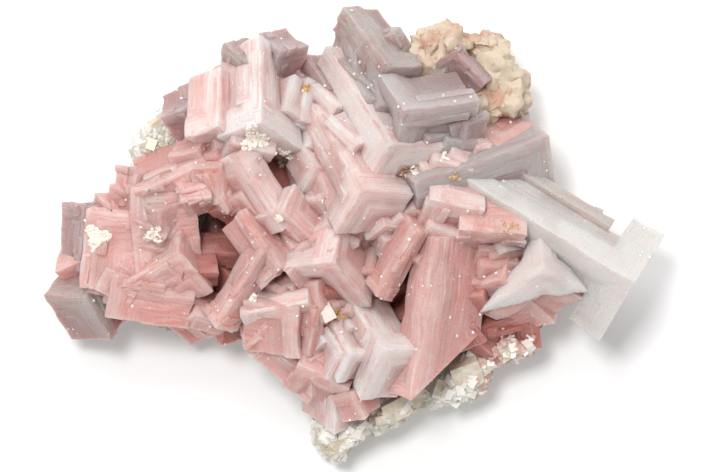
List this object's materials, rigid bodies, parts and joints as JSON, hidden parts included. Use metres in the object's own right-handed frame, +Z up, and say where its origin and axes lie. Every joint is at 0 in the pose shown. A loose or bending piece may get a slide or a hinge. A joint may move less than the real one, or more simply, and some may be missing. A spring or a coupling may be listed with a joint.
{
  "type": "halite crystal cluster",
  "caption": "Natural cluster of milky pink hopper cubes of rock salt grown together on a flat-cut granular salt crust, with a patch of cream evaporite crust at one side",
  "frame": {"origin": "middle of the bounding box seen from above, on the flat underside", "axes": "+X along the cluster's length, with the beam that ends in a T at +X; +Y across it, with the cream crust at +Y; +Z up, the way the crystals grow"},
  "size_m": [0.1046, 0.0766, 0.0375],
  "materials": {
    "rose_halite": "milky translucent crystal, satin on the rims and glassy in the pits",
    "granular_salt": "sugary grains of salt, off-white to greenish grey",
    "cream_crust": "dull lumpy crust, cream with orange and brown patches"
  },
  "bodies": {
    "root": {"pink_halite_crystals": "rose_halite", "salt_crust_matrix": "granular_salt", "cream_evaporite_crust": "cream_crust"}
  },
  "joints": []
}
